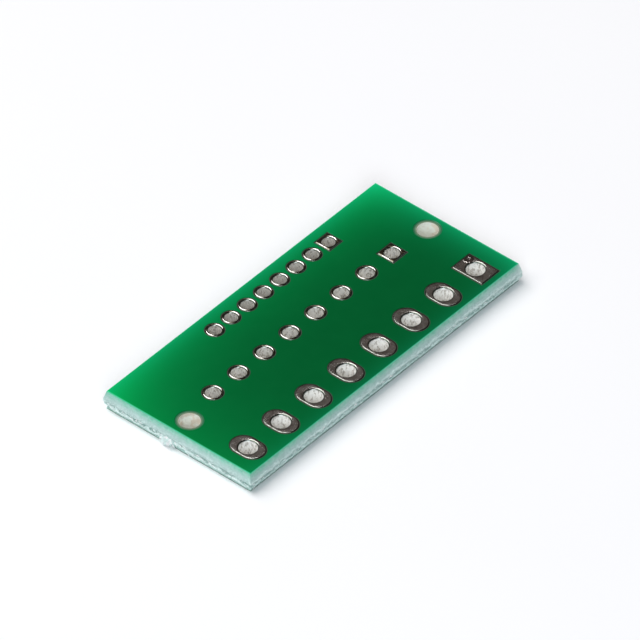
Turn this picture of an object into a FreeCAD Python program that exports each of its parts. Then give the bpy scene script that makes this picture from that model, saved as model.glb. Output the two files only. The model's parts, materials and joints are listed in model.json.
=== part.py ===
import FreeCAD, Part
import math
import os

from FreeCAD import Vector

# Bare pitch adapter board: three rows of eight plated holes joined pin to pin.
# Sizes are in millimetres. The board lies flat with its plain face up.
# X runs along the long edges towards pin 1, Y runs from row C to row A, and Z points up.
# The origin is the middle of the outline on the plane that the board rests on.

# Laminate
laminate_thickness = 1.12

# Row C, the widest pitch, beside the near long edge
pin_count = 8
first_pin = 1
row_c_pitch = 2.54
row_c_hole = 1.00
row_c_land_length = 2.00
row_c_land_width = 1.40
row_c_near_margin = 1.39
row_c_left_margin = 1.45
row_c_right_margin = 1.77

# Row B, in the middle
row_b_pitch = 2.00
row_b_hole = 0.80
row_b_annulus = 0.15
row_b_spacing = 4.05
row_b_setback = 1.81

# Row A, the finest pitch, beside the far long edge
row_a_pitch = 1.27
row_a_hole = 0.70
row_a_annulus = 0.15
row_a_spacing = 3.03
row_a_setback = 3.27
row_a_far_margin = 1.13

# Plating: copper foil under a tinned finish, and the wall in each hole
copper_thickness = 0.035
tin_thickness = 0.020
barrel_wall = 0.040

# Plain tooling holes near the two short edges, placed from row B
tool_hole = 1.15
left_tool_inset = 1.06
left_tool_drop = 0.48
right_tool_inset = 1.00
right_tool_drop = 0.20

# Solder mask
mask_thickness = 0.030
mask_over_copper = 0.015
mask_gap = 0.050
tool_mask_gap = 0.175

# Tracks on the underside
track_width = 0.30

# Scored edges: a V groove from each face, and the web between them snapped by hand
top_score_depth = 0.45
bottom_score_depth = 0.22
score_half_angle = 15.0

# Torn web: a lip, a crack and a ledge, each as tall and as far past the groove as it tore
lip_height = 0.17
lip_reach = 0.030
crack_height = 0.08
crack_reach = -0.045
ledge_reach = 0.035
tear_swing = 0.025
tear_step = 0.75
tear_waves = [2.30, 1.57]

# Tuft of glass fibres left on the short edge away from pin 1, split into fingers
tuft_offset = 0.65
tuft_length = 1.05
tuft_reach = 0.20
tuft_root_depth = 0.25
tuft_root_height = 0.16
tuft_tip_height = 0.05
tuft_droop = 0.22
tuft_fingers = 5
tuft_notch_depth = 0.11
tuft_crowding = 1.25
tuft_shortfall = 0.05

# Levels and outline worked out from the sizes above
land_height = copper_thickness + tin_thickness
laminate_bottom = land_height
laminate_top = laminate_bottom + laminate_thickness
row_c_span = (pin_count - 1) * row_c_pitch
board_length = row_c_left_margin + row_c_span + row_c_right_margin
board_width = row_c_near_margin + row_b_spacing + row_a_spacing + row_a_far_margin
score_slope = math.tan(math.radians(score_half_angle))
web_top = laminate_top - top_score_depth
web_bottom = laminate_bottom + bottom_score_depth
ledge_height = web_top - lip_height - crack_height - web_bottom
groove_run = top_score_depth * score_slope


# Outlines round a centre, lifted to a level
def rectangle(length_x, length_y, z, centre=Vector(0, 0, 0)):
    half_x = length_x / 2
    half_y = length_y / 2
    corners = [
        centre + Vector(-half_x, -half_y, z),
        centre + Vector(half_x, -half_y, z),
        centre + Vector(half_x, half_y, z),
        centre + Vector(-half_x, half_y, z),
    ]
    return Part.makePolygon(corners + corners[:1])


def obround(width_x, length_y, z, centre):
    radius = width_x / 2
    straight = length_y / 2 - radius
    if straight <= 0:
        return Part.Wire(Part.makeCircle(radius, centre + Vector(0, 0, z)))
    left_low = centre + Vector(-radius, -straight, z)
    right_low = centre + Vector(radius, -straight, z)
    right_high = centre + Vector(radius, straight, z)
    left_high = centre + Vector(-radius, straight, z)
    low_tip = centre + Vector(0, -straight - radius, z)
    high_tip = centre + Vector(0, straight + radius, z)
    return Part.Wire(
        [
            Part.Arc(left_low, low_tip, right_low).toShape(),
            Part.makeLine(right_low, right_high),
            Part.Arc(right_high, high_tip, left_high).toShape(),
            Part.makeLine(left_high, left_low),
        ]
    )


def plate(outline, height):
    return Part.Face(outline).extrude(Vector(0, 0, height))


def pad_outline(row, pin, grow, z):
    """The land of one hole, or its mask opening: pin 1 has square corners."""
    width_x = row.land_width + 2 * grow
    length_y = row.land_length + 2 * grow
    if pin == first_pin:
        return rectangle(width_x, length_y, z, row.place(pin))
    return obround(width_x, length_y, z, row.place(pin))


class Row:
    """One row of plated holes, counted from pin 1 towards -X."""

    def __init__(self, letter, pitch, hole, land_length, land_width, pin_1_x, y):
        self.letter = letter
        self.pitch = pitch
        self.hole = hole
        self.land_length = land_length
        self.land_width = land_width
        self.pin_1_x = pin_1_x
        self.y = y

    def place(self, pin):
        return Vector(self.pin_1_x - (pin - first_pin) * self.pitch, self.y, 0)

    def drill(self):
        return self.hole + 2 * barrel_wall


# Rows and tooling holes in their places
row_c_pin_1_x = board_length / 2 - row_c_right_margin
row_c_y = row_c_near_margin - board_width / 2
row_b_y = row_c_y + row_b_spacing
row_a_y = row_b_y + row_a_spacing
row_b_pin_1_x = row_c_pin_1_x - row_b_setback
row_a_pin_1_x = row_c_pin_1_x - row_a_setback
row_b_land = row_b_hole + 2 * row_b_annulus
row_a_land = row_a_hole + 2 * row_a_annulus
row_a = Row("a", row_a_pitch, row_a_hole, row_a_land, row_a_land, row_a_pin_1_x, row_a_y)
row_b = Row("b", row_b_pitch, row_b_hole, row_b_land, row_b_land, row_b_pin_1_x, row_b_y)
row_c = Row(
    "c",
    row_c_pitch,
    row_c_hole,
    row_c_land_length,
    row_c_land_width,
    row_c_pin_1_x,
    row_c_y,
)
rows = [row_a, row_b, row_c]
pins = range(first_pin, first_pin + pin_count)
tool_places = [
    Vector(left_tool_inset - board_length / 2, row_b_y - left_tool_drop, 0),
    Vector(board_length / 2 - right_tool_inset, row_b_y - right_tool_drop, 0),
]


# Plated holes: a tinned land on each face and the plated barrel between them
def plated_hole(row, pin):
    centre = row.place(pin)
    low_land = plate(pad_outline(row, pin, 0, 0), land_height)
    high_land = plate(pad_outline(row, pin, 0, laminate_top), land_height)
    barrel_foot = centre + Vector(0, 0, laminate_bottom)
    barrel = Part.makeCylinder(row.drill() / 2, laminate_thickness, barrel_foot)
    bore = Part.makeCylinder(row.hole / 2, laminate_top + land_height, centre)
    return low_land.fuse([barrel, high_land]).cut(bore).removeSplitter()


# Tracks: straight runs on the underside from land to land
def track_strip(start, end, width, thickness):
    run = end - start
    strip = plate(rectangle(run.Length, width, laminate_bottom - thickness), thickness)
    strip.rotate(Vector(0, 0, 0), Vector(0, 0, 1), math.degrees(math.atan2(run.y, run.x)))
    strip.translate((start + end) / 2)
    return strip


def track_pairs():
    """Each stretch as its name, the rows at its two ends, and its pin."""
    pairs = []
    for pin in pins:
        pairs.append(("track_ab%d" % pin, row_a, row_b, pin))
        pairs.append(("track_bc%d" % pin, row_b, row_c, pin))
    return pairs


def whole_strip(first, second, pin, grow, thickness):
    return track_strip(first.place(pin), second.place(pin), track_width + 2 * grow, thickness)


def track(first, second, pin):
    """A strip cut back to the two lands that it joins."""
    strip = whole_strip(first, second, pin, 0, copper_thickness)
    ends = [plate(pad_outline(row, pin, 0, 0), land_height) for row in (first, second)]
    return strip.cut(ends)


# Solder mask: a film over each face, raised over the tracks
def mask_openings(level, height):
    openings = []
    for row in rows:
        for pin in pins:
            openings.append(plate(pad_outline(row, pin, mask_gap, level), height))
    for place in tool_places:
        radius = tool_hole / 2 + tool_mask_gap
        openings.append(Part.makeCylinder(radius, height, place + Vector(0, 0, level)))
    return openings


def mask_top():
    film = plate(rectangle(board_length, board_width, laminate_top), mask_thickness)
    return film.cut(mask_openings(laminate_top, mask_thickness))


def mask_bottom():
    level = laminate_bottom - mask_thickness
    film = plate(rectangle(board_length, board_width, level), mask_thickness)
    covers = []
    strips = []
    for name, first, second, pin in track_pairs():
        cover_thickness = copper_thickness + mask_over_copper
        covers.append(whole_strip(first, second, pin, mask_over_copper, cover_thickness))
        strips.append(whole_strip(first, second, pin, 0, copper_thickness))
    return film.fuse(covers).cut(strips + mask_openings(0, land_height)).removeSplitter()


# Laminate: scored on four sides and snapped from its panel
def tear(distance, ply):
    """How far the torn edge wanders at a distance along a side of one ply."""
    total = 0.0
    for count, wave in enumerate(tear_waves):
        total += math.sin(2 * math.pi * distance / wave + ply * (count + 2))
    return tear_swing * total / len(tear_waves)


def torn_side(start, end, outward, ply):
    """A corner and the points after it, each moved out of the side by the tear."""
    side = end - start
    steps = max(2, round(side.Length / tear_step))
    points = [start]
    for step in range(1, steps):
        share = step / steps
        shift = tear(side.Length * share + start.x + 2 * start.y, ply)
        points.append(start + side * share + outward * shift)
    return points


def torn_ply(ply, reach, bottom, height):
    """One layer of the web, standing past the groove by its reach."""
    half_x = board_length / 2 + groove_run + reach
    half_y = board_width / 2 + groove_run + reach
    south_west = Vector(-half_x, -half_y, bottom)
    south_east = Vector(half_x, -half_y, bottom)
    north_east = Vector(half_x, half_y, bottom)
    north_west = Vector(-half_x, half_y, bottom)
    points = torn_side(south_west, south_east, Vector(0, -1, 0), ply)
    points += torn_side(south_east, north_east, Vector(1, 0, 0), ply)
    points += torn_side(north_east, north_west, Vector(0, 1, 0), ply)
    points += torn_side(north_west, south_west, Vector(-1, 0, 0), ply)
    return plate(Part.makePolygon(points + points[:1]), height)


def sloped_slab(face_level, web_level, depth):
    """The laminate between one face and the web, wider by the run of its groove."""
    spread = 2 * depth * score_slope
    face = rectangle(board_length, board_width, face_level)
    root = rectangle(board_length + spread, board_width + spread, web_level)
    return Part.makeLoft([face, root], True, True)


def fibre_tuft():
    """A drooping wedge of fibres on the torn web, notched into uneven fingers."""
    edge_x = -board_length / 2 - groove_run
    root_x = edge_x + tuft_root_depth
    tip_x = edge_x - tuft_reach
    root_low = web_bottom
    root_high = root_low + tuft_root_height
    tip_low = root_low - tuft_droop
    tip_high = tip_low + tuft_tip_height
    start_y = tuft_offset - tuft_length / 2
    side = [
        Vector(root_x, start_y, root_low),
        Vector(edge_x, start_y, root_low),
        Vector(tip_x, start_y, tip_low),
        Vector(tip_x, start_y, tip_high),
        Vector(edge_x, start_y, root_high),
        Vector(root_x, start_y, root_high),
    ]
    wedge = Part.Face(Part.makePolygon(side + side[:1])).extrude(Vector(0, tuft_length, 0))
    plan = [Vector(root_x, start_y, 0)]
    finger_start = start_y
    for count in range(tuft_fingers):
        share = ((count + 1) / tuft_fingers) ** tuft_crowding
        finger_end = start_y + tuft_length * share
        finger_tip = tip_x + tuft_shortfall * (count % 2)
        plan.append(Vector(tip_x + tuft_notch_depth, finger_start, 0))
        plan.append(Vector(finger_tip, (finger_start + finger_end) / 2, 0))
        finger_start = finger_end
    plan.append(Vector(tip_x + tuft_notch_depth, start_y + tuft_length, 0))
    plan.append(Vector(root_x, start_y + tuft_length, 0))
    return wedge.common(plate(Part.makePolygon(plan + plan[:1]), laminate_top))


def substrate():
    upper = sloped_slab(laminate_top, web_top, top_score_depth)
    lower = sloped_slab(laminate_bottom, web_bottom, bottom_score_depth)
    crack_bottom = web_bottom + ledge_height
    lip_bottom = crack_bottom + crack_height
    ledge = torn_ply(1, ledge_reach, web_bottom, ledge_height)
    crack = torn_ply(2, crack_reach, crack_bottom, crack_height)
    lip = torn_ply(3, lip_reach, lip_bottom, lip_height)
    body = upper.fuse([lip, crack, ledge, lower, fibre_tuft()]).removeSplitter()
    drills = []
    for row in rows:
        for pin in pins:
            foot = row.place(pin) + Vector(0, 0, laminate_bottom)
            drills.append(Part.makeCylinder(row.drill() / 2, laminate_thickness, foot))
    for place in tool_places:
        foot = place + Vector(0, 0, laminate_bottom)
        drills.append(Part.makeCylinder(tool_hole / 2, laminate_thickness, foot))
    return body.cut(drills)


# Every piece in its own file
def write(name, shape):
    solid = shape.Solids[0] if len(shape.Solids) == 1 else shape
    solid.exportStep("parts/%s.step" % name)


def main():
    os.makedirs("parts", exist_ok=True)
    write("substrate", substrate())
    write("solder_mask_top", mask_top())
    write("solder_mask_bottom", mask_bottom())
    for row in rows:
        for pin in pins:
            write("plated_hole_%s%d" % (row.letter, pin), plated_hole(row, pin))
    for name, first, second, pin in track_pairs():
        write(name, track(first, second, pin))


main()
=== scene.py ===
import json
import math
import random

import bmesh
import bpy
from mathutils import Matrix, Vector


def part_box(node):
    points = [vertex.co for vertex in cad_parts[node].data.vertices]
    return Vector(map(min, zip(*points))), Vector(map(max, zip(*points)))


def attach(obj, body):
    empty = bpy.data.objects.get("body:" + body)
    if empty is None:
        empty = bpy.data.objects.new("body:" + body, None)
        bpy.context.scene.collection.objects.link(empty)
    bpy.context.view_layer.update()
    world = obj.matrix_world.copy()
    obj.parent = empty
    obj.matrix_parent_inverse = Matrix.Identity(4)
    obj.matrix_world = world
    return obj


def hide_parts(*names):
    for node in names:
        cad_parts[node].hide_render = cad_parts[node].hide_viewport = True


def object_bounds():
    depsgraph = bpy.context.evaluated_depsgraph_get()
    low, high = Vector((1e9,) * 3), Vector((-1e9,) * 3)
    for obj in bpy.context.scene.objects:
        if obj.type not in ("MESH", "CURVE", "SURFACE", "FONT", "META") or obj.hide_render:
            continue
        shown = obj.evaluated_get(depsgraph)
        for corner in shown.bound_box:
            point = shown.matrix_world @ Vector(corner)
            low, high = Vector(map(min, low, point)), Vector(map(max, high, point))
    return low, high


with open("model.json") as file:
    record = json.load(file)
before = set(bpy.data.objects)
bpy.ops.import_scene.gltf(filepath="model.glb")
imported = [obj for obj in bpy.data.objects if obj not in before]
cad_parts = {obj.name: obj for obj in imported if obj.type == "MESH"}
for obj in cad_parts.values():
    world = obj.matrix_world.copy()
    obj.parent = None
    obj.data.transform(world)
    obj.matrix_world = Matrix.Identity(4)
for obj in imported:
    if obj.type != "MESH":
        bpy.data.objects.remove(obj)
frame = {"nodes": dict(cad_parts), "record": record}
cad_low, cad_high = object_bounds()

# Pieces are modelled in millimetres and brought to metres when they are finished
MM = 0.001
SMOOTH_ANGLE = math.radians(40)
NEAR = 0.0005

# Sides of a circle, and the cuts that make the other outlines about as fine
ROUND_SIDES = 64
RECTANGLE_CUTS = 15
STRAIGHT_CUTS = 13
PAD_CORNER_ROUND = 0.05


def span(node):
    """The lowest and highest corner of a node of the frame, in millimetres."""
    low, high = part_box(node)
    return low / MM, high / MM


# Sizes that come from the frame
MASK_LOW, MASK_HIGH = span("solder_mask_top")
PAD_TOP = span("plated_hole_c1")[1].z
CAD_LOW, CAD_HIGH = cad_low / MM, cad_high / MM
HALF_LENGTH = MASK_HIGH.x
HALF_WIDTH = MASK_HIGH.y
LAMINATE_TOP = MASK_LOW.z
LAMINATE_BOTTOM = PAD_TOP - LAMINATE_TOP
MIDDLE = PAD_TOP / 2
BORES = {
    mount["name"]: mount
    for mount in frame["record"]["mounts"]
    if mount["kind"] == "bore"
}
ROWS = "abc"
PINS = range(1, 9)
TOOL_HOLES = ("tooling_hole_left", "tooling_hole_right")

# Sizes of the part that the frame doesn't list
BARREL_WALL = 0.040
MASK_GAP = 0.050
TOOL_MASK_GAP = 0.175


def hole_node(letter, pin):
    """The name of a pin's plated hole in the frame."""
    return "plated_hole_%s%d" % (letter, pin)


def pin_mount(letter, pin):
    """The name of a pin's bore among the mounts."""
    return "pin_%s%d" % (letter, pin)


def bore_place(name):
    """Where a bore stands on the board, in millimetres, at level 0."""
    x, y, _ = BORES[name]["pos_m"]
    return Vector((x / MM, y / MM, 0))


def bore_radius(name):
    """The radius of a bore, in millimetres."""
    return BORES[name]["dims"]["r_mm"]


# Camera: the photograph's angle, from far away through a long lens
CAMERA_AZIMUTH = math.radians(-49.46)
CAMERA_ELEVATION = math.radians(41.79)
CAMERA_DISTANCE = 813.1
CAMERA_ASIDE = 0.33
CAMERA_RISE = 0.35
CAMERA_LENS = 900

turn = Vector((math.pi / 2 - CAMERA_ELEVATION, 0, CAMERA_AZIMUTH))
bpy.ops.object.camera_add(rotation=turn)
camera = bpy.context.object
camera.name = "camera"
camera.data.lens = CAMERA_LENS
camera.data.clip_start = 0.01
camera.data.clip_end = 10
right, up, back = camera.rotation_euler.to_matrix().col
eye = back * CAMERA_DISTANCE + right * CAMERA_ASIDE + up * CAMERA_RISE
camera.location = (eye + Vector((0, 0, MASK_HIGH.z))) * MM
bpy.context.scene.camera = camera
bpy.context.scene.view_settings.view_transform = "Standard"


# Edit-mode helpers
def start_piece(name, add, **settings):
    """Adds a primitive, names it and opens it for editing with nothing selected."""
    bpy.ops.object.select_all(action="DESELECT")
    add(**settings)
    piece = bpy.context.object
    piece.name = name
    piece.data.name = name
    bpy.ops.object.mode_set(mode="EDIT")
    bpy.ops.mesh.select_mode(type="VERT")
    return piece


def choose(test):
    """Selects the vertices that pass the test, with the edges and faces between them."""
    bpy.ops.mesh.select_all(action="DESELECT")
    data = bpy.context.object.data
    mesh = bmesh.from_edit_mesh(data)
    for vertex in mesh.verts:
        if test(vertex.co):
            vertex.select = True
    mesh.select_flush(True)
    bmesh.update_edit_mesh(data)


def choose_edges(test, open_only=False):
    """Selects the edges whose two ends pass the test, or only those with one face or none."""
    bpy.ops.mesh.select_mode(type="EDGE")
    bpy.ops.mesh.select_all(action="DESELECT")
    data = bpy.context.object.data
    mesh = bmesh.from_edit_mesh(data)
    for edge in mesh.edges:
        if open_only and not (edge.is_boundary or edge.is_wire):
            continue
        if test(edge.verts[0].co, edge.verts[1].co):
            edge.select_set(True)
    bmesh.update_edit_mesh(data)


def choose_vertices():
    """Back to working with vertices after edges."""
    bpy.ops.mesh.select_mode(type="VERT")


def move(x=0.0, y=0.0, z=0.0):
    """Moves what is selected."""
    bpy.ops.transform.translate(value=(x, y, z))


def extrude(z=0.0):
    """Extrudes what is selected, straight up or down."""
    bpy.ops.mesh.extrude_region_move(TRANSFORM_OT_translate={"value": (0.0, 0.0, z)})


def at_level(z):
    """A test that passes at one level."""
    return lambda place: abs(place.z - z) < NEAR


def add_outline(shape, length_x, length_y, z, centre=Vector((0, 0, 0))):
    """A closed outline in the mesh that is open, with its own vertices selected."""
    place = (centre.x, centre.y, z)
    if shape == "rectangle":
        add_rectangle(length_x, length_y, place)
        return
    bpy.ops.mesh.primitive_circle_add(
        vertices=ROUND_SIDES,
        radius=length_x / 2,
        location=place,
        rotation=(0, 0, math.pi / ROUND_SIDES),
    )
    stretch = (length_y - length_x) / 2
    if stretch > NEAR:
        ring = selected_places()
        for side in (1, -1):
            half = [co for co in ring if (co.y - centre.y) * side > 0]
            choose(lambda place: any((place - co).length < NEAR for co in half))
            move(y=side * stretch)
        choose_edges(
            lambda start, end: abs(start.y + end.y - 2 * centre.y) < NEAR
            and abs(start.y - end.y) > stretch
            and abs(start.x - centre.x) < length_x
            and abs(start.x - end.x) < NEAR
        )
        bpy.ops.mesh.subdivide(number_cuts=STRAIGHT_CUTS)
        choose_vertices()


def selected_places():
    """Where the selected vertices stand."""
    mesh = bmesh.from_edit_mesh(bpy.context.object.data)
    return [vertex.co.copy() for vertex in mesh.verts if vertex.select]


def add_rectangle(length_x, length_y, place):
    """A rectangle in the mesh that is open, cut so that it can be cast to a circle."""
    bpy.ops.mesh.primitive_plane_add(size=1, location=place)
    bpy.ops.transform.resize(value=(length_x, length_y, 1), center_override=place)
    bpy.ops.mesh.delete(type="ONLY_FACE")
    centre = Vector(place)
    reach_x, reach_y = length_x / 2 + NEAR, length_y / 2 + NEAR
    choose(lambda co: abs(co.x - centre.x) < reach_x and abs(co.y - centre.y) < reach_y)
    bpy.ops.mesh.subdivide(number_cuts=RECTANGLE_CUTS)


def round_corners(length_x, length_y):
    """Rounds the upright corner edges of a rectangular wall round the origin."""
    choose_edges(
        lambda start, end: abs(start.z - end.z) > NEAR
        and abs(abs(start.x) - length_x / 2) < NEAR
        and abs(abs(start.y) - length_y / 2) < NEAR
    )
    round_edges(PAD_CORNER_ROUND, 3)
    choose_vertices()


def round_edges(width, segments):
    """Rounds the selected edges."""
    bpy.ops.mesh.bevel(offset=width, segments=segments, profile=0.5, affect="EDGES")


def close_piece(piece, slot, material, *replaced):
    """Normals out, smooth, to metres, at rest in the frame, with its finish."""
    make_active(piece)
    bpy.ops.object.mode_set(mode="EDIT")
    bpy.ops.mesh.select_all(action="SELECT")
    bpy.ops.mesh.normals_make_consistent(inside=False)
    bpy.ops.object.mode_set(mode="OBJECT")
    bpy.ops.object.shade_smooth_by_angle(angle=SMOOTH_ANGLE)
    dress_piece(piece, slot, material, *replaced)


def dress_piece(piece, slot, material, *replaced):
    """Brings a piece to metres and gives it its material and its place in the frame."""
    make_active(piece)
    piece.location = piece.location * MM
    piece.scale = (MM, MM, MM)
    bpy.ops.object.transform_apply(location=True, rotation=True, scale=True)
    piece.data.materials.append(material)
    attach(piece, "root")
    if replaced:
        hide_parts(*replaced)


def make_active(piece):
    """Selects one piece alone."""
    bpy.ops.object.select_all(action="DESELECT")
    piece.select_set(True)
    bpy.context.view_layer.objects.active = piece


# Helpers that add and join the nodes of one tree. Noise scales count waves a metre
def new_finish(name):
    """A material with its node tree and its shader."""
    material = bpy.data.materials.new(name)
    material.use_nodes = True
    tree = material.node_tree
    return material, tree, tree.nodes["Principled BSDF"]


def new_group(name, inputs, outputs):
    """A node group with a Vector and named numbers going in, and its two end nodes."""
    group = bpy.data.node_groups.new(name, "ShaderNodeTree")
    face = group.interface
    face.new_socket(name="Vector", in_out="INPUT", socket_type="NodeSocketVector")
    for label, value in inputs.items():
        socket = face.new_socket(name=label, in_out="INPUT", socket_type="NodeSocketFloat")
        socket.default_value = value
    for label in outputs:
        face.new_socket(name=label, in_out="OUTPUT", socket_type="NodeSocketFloat")
    return group, group.nodes.new("NodeGroupInput"), group.nodes.new("NodeGroupOutput")


def put(tree, value, socket):
    """Joins a socket to another node's output, or sets it to a number or a colour."""
    if isinstance(value, bpy.types.NodeSocket):
        tree.links.new(value, socket)
    elif isinstance(value, tuple):
        socket.default_value = (*value, 1)
    else:
        socket.default_value = value


def group_node(tree, group, place, **values):
    """The outputs of a group that reads a position, with its named inputs set."""
    node = tree.nodes.new("ShaderNodeGroup")
    node.node_tree = group
    put(tree, place, node.inputs["Vector"])
    for name, value in values.items():
        put(tree, value, node.inputs[name.replace("_", " ")])
    return node.outputs


def object_place(tree):
    """Where a point lies on the board, in metres."""
    return tree.nodes.new("ShaderNodeTexCoord").outputs["Object"]


def split_axes(tree, place):
    """The X, Y and Z of a position."""
    node = tree.nodes.new("ShaderNodeSeparateXYZ")
    put(tree, place, node.inputs[0])
    return node.outputs


def distance_to(tree, place, centre):
    """Distance from a point that is given in millimetres."""
    node = tree.nodes.new("ShaderNodeVectorMath")
    node.operation = "DISTANCE"
    put(tree, place, node.inputs[0])
    put(tree, centre * MM, node.inputs[1])
    return node.outputs["Value"]


def stretched(tree, place, *scale):
    """A position scaled along each axis, for a grain that runs one way."""
    node = tree.nodes.new("ShaderNodeMapping")
    node.inputs["Scale"].default_value = scale
    put(tree, place, node.inputs["Vector"])
    return node.outputs["Vector"]


def math_node(tree, operation, *values, clamp=False):
    """One step of arithmetic on numbers or other nodes' outputs."""
    node = tree.nodes.new("ShaderNodeMath")
    node.operation = operation
    node.use_clamp = clamp
    for socket, value in zip(node.inputs, values):
        put(tree, value, socket)
    return node.outputs[0]


def weighted_sum(tree, *terms):
    """The sum of (value, weight) pairs, held between 0 and 1."""
    total = 0.0
    for value, weight in terms:
        total = math_node(tree, "MULTIPLY_ADD", value, weight, total, clamp=True)
    return total


def smooth_range(tree, value, low, high):
    """0 below low, 1 above high and smooth between them."""
    node = tree.nodes.new("ShaderNodeMapRange")
    node.interpolation_type = "SMOOTHSTEP"
    node.inputs["From Min"].default_value = low
    node.inputs["From Max"].default_value = high
    put(tree, value, node.inputs["Value"])
    return node.outputs["Result"]


def noise_node(tree, place, scale, detail=3.0, roughness=0.5):
    """Cloudy values from 0 to 1."""
    node = tree.nodes.new("ShaderNodeTexNoise")
    node.inputs["Detail"].default_value = detail
    node.inputs["Roughness"].default_value = roughness
    put(tree, scale, node.inputs["Scale"])
    put(tree, place, node.inputs["Vector"])
    return node.outputs[0]


def mix_colors(tree, share, first, second):
    """The first colour at a share of 0 and the second at 1."""
    node = tree.nodes.new("ShaderNodeMix")
    node.data_type = "RGBA"
    put(tree, share, node.inputs[0])
    put(tree, first, node.inputs[6])
    put(tree, second, node.inputs[7])
    return node.outputs[2]


def ramp(tree, value, stops):
    """A colour ramp from (position, colour) stops."""
    node = tree.nodes.new("ShaderNodeValToRGB")
    marks = node.color_ramp.elements
    while len(marks) < len(stops):
        marks.new(0.5)
    for mark, (position, color) in zip(marks, stops):
        mark.position = position
        mark.color = (*color, 1)
    put(tree, value, node.inputs["Fac"])
    return node.outputs["Color"]


def add_relief(tree, shader, height, strength, depth):
    """Fine relief from a height, with its depth in millimetres."""
    node = tree.nodes.new("ShaderNodeBump")
    node.inputs["Strength"].default_value = strength
    node.inputs["Distance"].default_value = depth * MM
    put(tree, height, node.inputs["Height"])
    put(tree, node.outputs["Normal"], shader.inputs["Normal"])


# Node groups for the finishes
def build_edge_light():
    """Light that soaks into the laminate from each side and fades inwards."""
    inputs = {"Reach X": 0.001, "Reach Y": 0.001}
    tree, start, end = new_group("edge_light", inputs, ["Left", "Right", "Near", "Far"])
    axes = split_axes(tree, start.outputs["Vector"])
    sides = {
        "Left": ("X", 1, HALF_LENGTH, "Reach X"),
        "Right": ("X", -1, HALF_LENGTH, "Reach X"),
        "Near": ("Y", 1, HALF_WIDTH, "Reach Y"),
        "Far": ("Y", -1, HALF_WIDTH, "Reach Y"),
    }
    for label, (axis, sign, half, reach) in sides.items():
        depth = math_node(tree, "MULTIPLY_ADD", axes[axis], sign, half * MM)
        share = math_node(tree, "DIVIDE", depth, start.outputs[reach])
        fade = math_node(tree, "MULTIPLY", share, -1.0)
        put(tree, math_node(tree, "EXPONENT", fade, clamp=True), end.inputs[label])
    return tree


def build_uneven():
    """Fine unevenness: slow waves and a finer grain in one height."""
    inputs = {"Wave Scale": 1000.0, "Grain Scale": 8000.0, "Grain Share": 0.3}
    tree, start, end = new_group("uneven_surface", inputs, ["Height"])
    place = start.outputs["Vector"]
    wave = noise_node(tree, place, start.outputs["Wave Scale"], 2.0)
    grain = noise_node(tree, place, start.outputs["Grain Scale"], 3.0, 0.6)
    height = math_node(tree, "MULTIPLY_ADD", grain, start.outputs["Grain Share"], wave)
    put(tree, height, end.inputs["Height"])
    return tree


def build_cloth():
    """Glass cloth: two crossing sets of threads pressed faintly through the film."""
    tree, start, end = new_group("glass_cloth", {"Thread Scale": 2500.0}, ["Height"])
    axes = split_axes(tree, start.outputs["Vector"])
    waves = []
    for axis in "XY":
        turns = math_node(tree, "MULTIPLY", axes[axis], start.outputs["Thread Scale"])
        waves.append(math_node(tree, "SINE", turns))
    put(tree, math_node(tree, "MULTIPLY", *waves), end.inputs["Height"])
    return tree


EDGE_LIGHT = build_edge_light()
UNEVEN = build_uneven()
CLOTH = build_cloth()

# Solder mask
# Mask colours: the glow and the rim glow are painted light that soaks in, the edge highlight is a
# painted highlight and the shadow is painted shade
MASK_DARK = (0.0003, 0.092, 0.021)
MASK_GLOW = (0.0006, 0.56, 0.120)
MASK_RIM_GLOW = (0.010, 0.62, 0.300)
MASK_EDGE_HIGHLIGHT = (0.12, 0.78, 0.48)
MASK_SHADOW = (0.02, 0.07, 0.045)
MASK_TINT = (0.15, 1.0, 0.55)


def soaked_light(tree, place, wide, tight):
    """How much light shows through the film, from the far side and both ends."""
    corner = math_node(tree, "ADD", wide["Left"], wide["Right"])
    gain = math_node(tree, "MULTIPLY_ADD", corner, 0.32, 0.28)
    far = math_node(tree, "MULTIPLY", wide["Far"], gain)
    soaked = weighted_sum(tree, (far, 1.0), (wide["Left"], 0.20), (tight["Right"], 0.22))
    cloudy = noise_node(tree, place, 700.0, 2.0)
    wander = math_node(tree, "MULTIPLY_ADD", cloudy, 0.03, -0.015)
    return math_node(tree, "ADD", soaked, wander, clamp=True)


def film_edge(tree, tight):
    """How near a point is to the film's outline, where a painted highlight line runs on top and
    painted shade underneath.
    """
    nearest = math_node(tree, "MAXIMUM", tight["Left"], tight["Right"])
    for side in ("Near", "Far"):
        nearest = math_node(tree, "MAXIMUM", nearest, tight[side])
    outline = smooth_range(tree, nearest, 0.90, 0.985)
    return math_node(tree, "MULTIPLY", outline, 0.7)


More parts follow.
